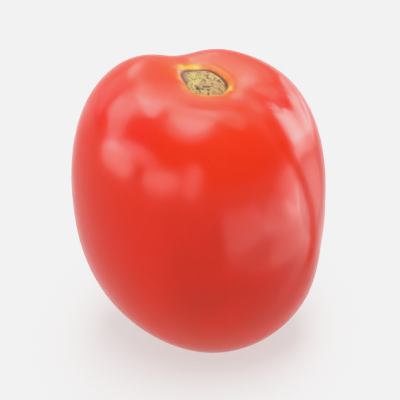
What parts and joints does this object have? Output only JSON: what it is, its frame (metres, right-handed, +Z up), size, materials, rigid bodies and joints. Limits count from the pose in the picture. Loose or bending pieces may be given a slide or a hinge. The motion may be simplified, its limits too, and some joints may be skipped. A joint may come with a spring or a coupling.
{
  "type": "plum tomato",
  "caption": "Ripe plum tomato, a rounded barrel with soft furrows and a corky stem scar, standing on a small flat spot at its blossom end.",
  "frame": {"origin": "middle of the small flat spot at the blossom end, on the surface that the fruit rests on", "axes": "+Z up from the blossom end to the stem scar, -Y towards the side that shows the fruit's front, +X to the right as seen from there"},
  "size_m": [0.0575, 0.0538, 0.0686],
  "materials": {
    "skin": "glossy fruit skin",
    "stem_scar": "matt cork"
  },
  "bodies": {
    "root": {"tomato": "skin"}
  },
  "joints": []
}
